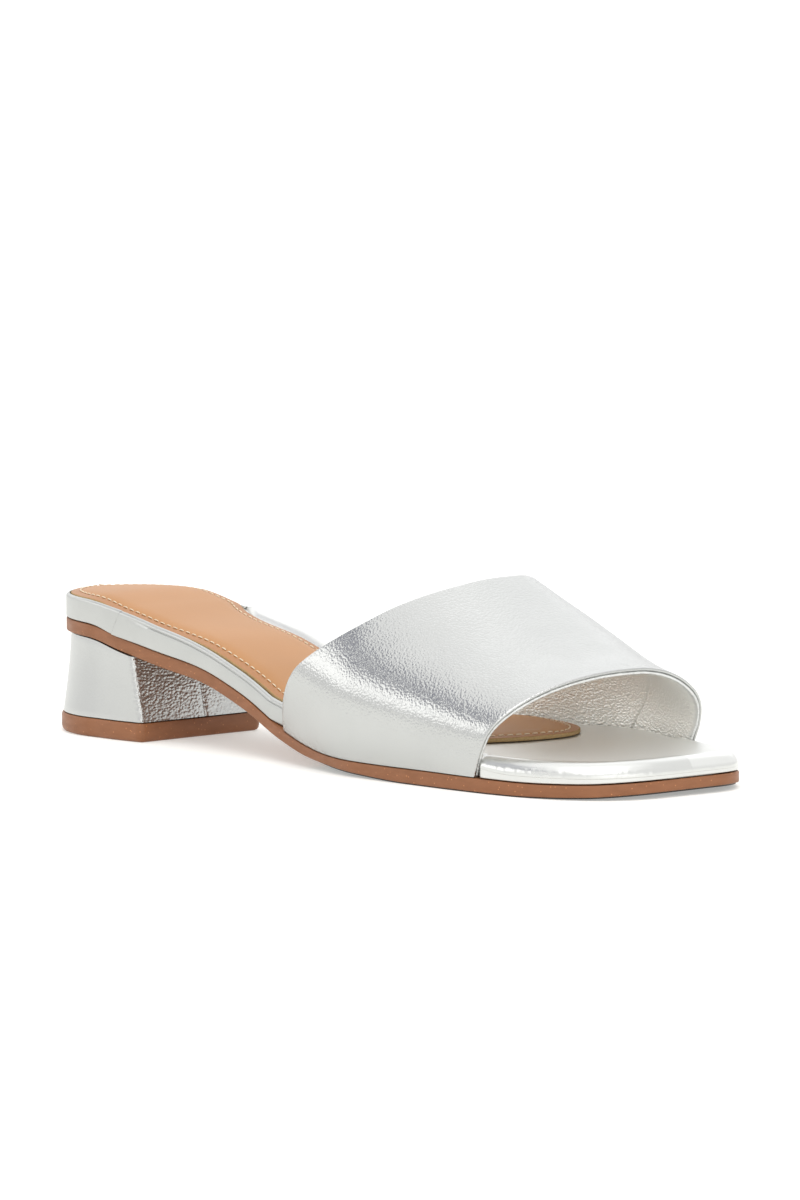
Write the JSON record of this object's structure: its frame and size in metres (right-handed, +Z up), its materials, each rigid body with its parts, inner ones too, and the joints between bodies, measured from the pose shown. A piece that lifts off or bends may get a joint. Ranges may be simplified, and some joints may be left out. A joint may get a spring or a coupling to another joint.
{
  "type": "low heel sandal",
  "caption": "Right slide sandal: one wide hollow band over the forefoot, padded insole on a covered board, thin sole sprung at the toe, low covered block heel.",
  "frame": {"origin": "on the floor, under the middle of the shoe's bounding box", "axes": "+Z up; -Y towards the toe; -X towards the wearer's right, the outer side of this right shoe"},
  "size_m": [0.0838, 0.2434, 0.0533],
  "materials": {
    "outsole": "satin brown resin sole",
    "board_cover": "silver metallic leather, finely pebbled",
    "sock": "smooth matte tan leather",
    "band": "silver metallic leather, finely pebbled",
    "heel_cover": "silver metallic leather, finely pebbled",
    "top_piece": "satin brown rubber"
  },
  "bodies": {
    "root": {"outsole": "outsole", "insole_board": "board_cover", "sock": "sock", "band": "band", "heel_block": "heel_cover", "top_piece": "top_piece"}
  },
  "joints": []
}
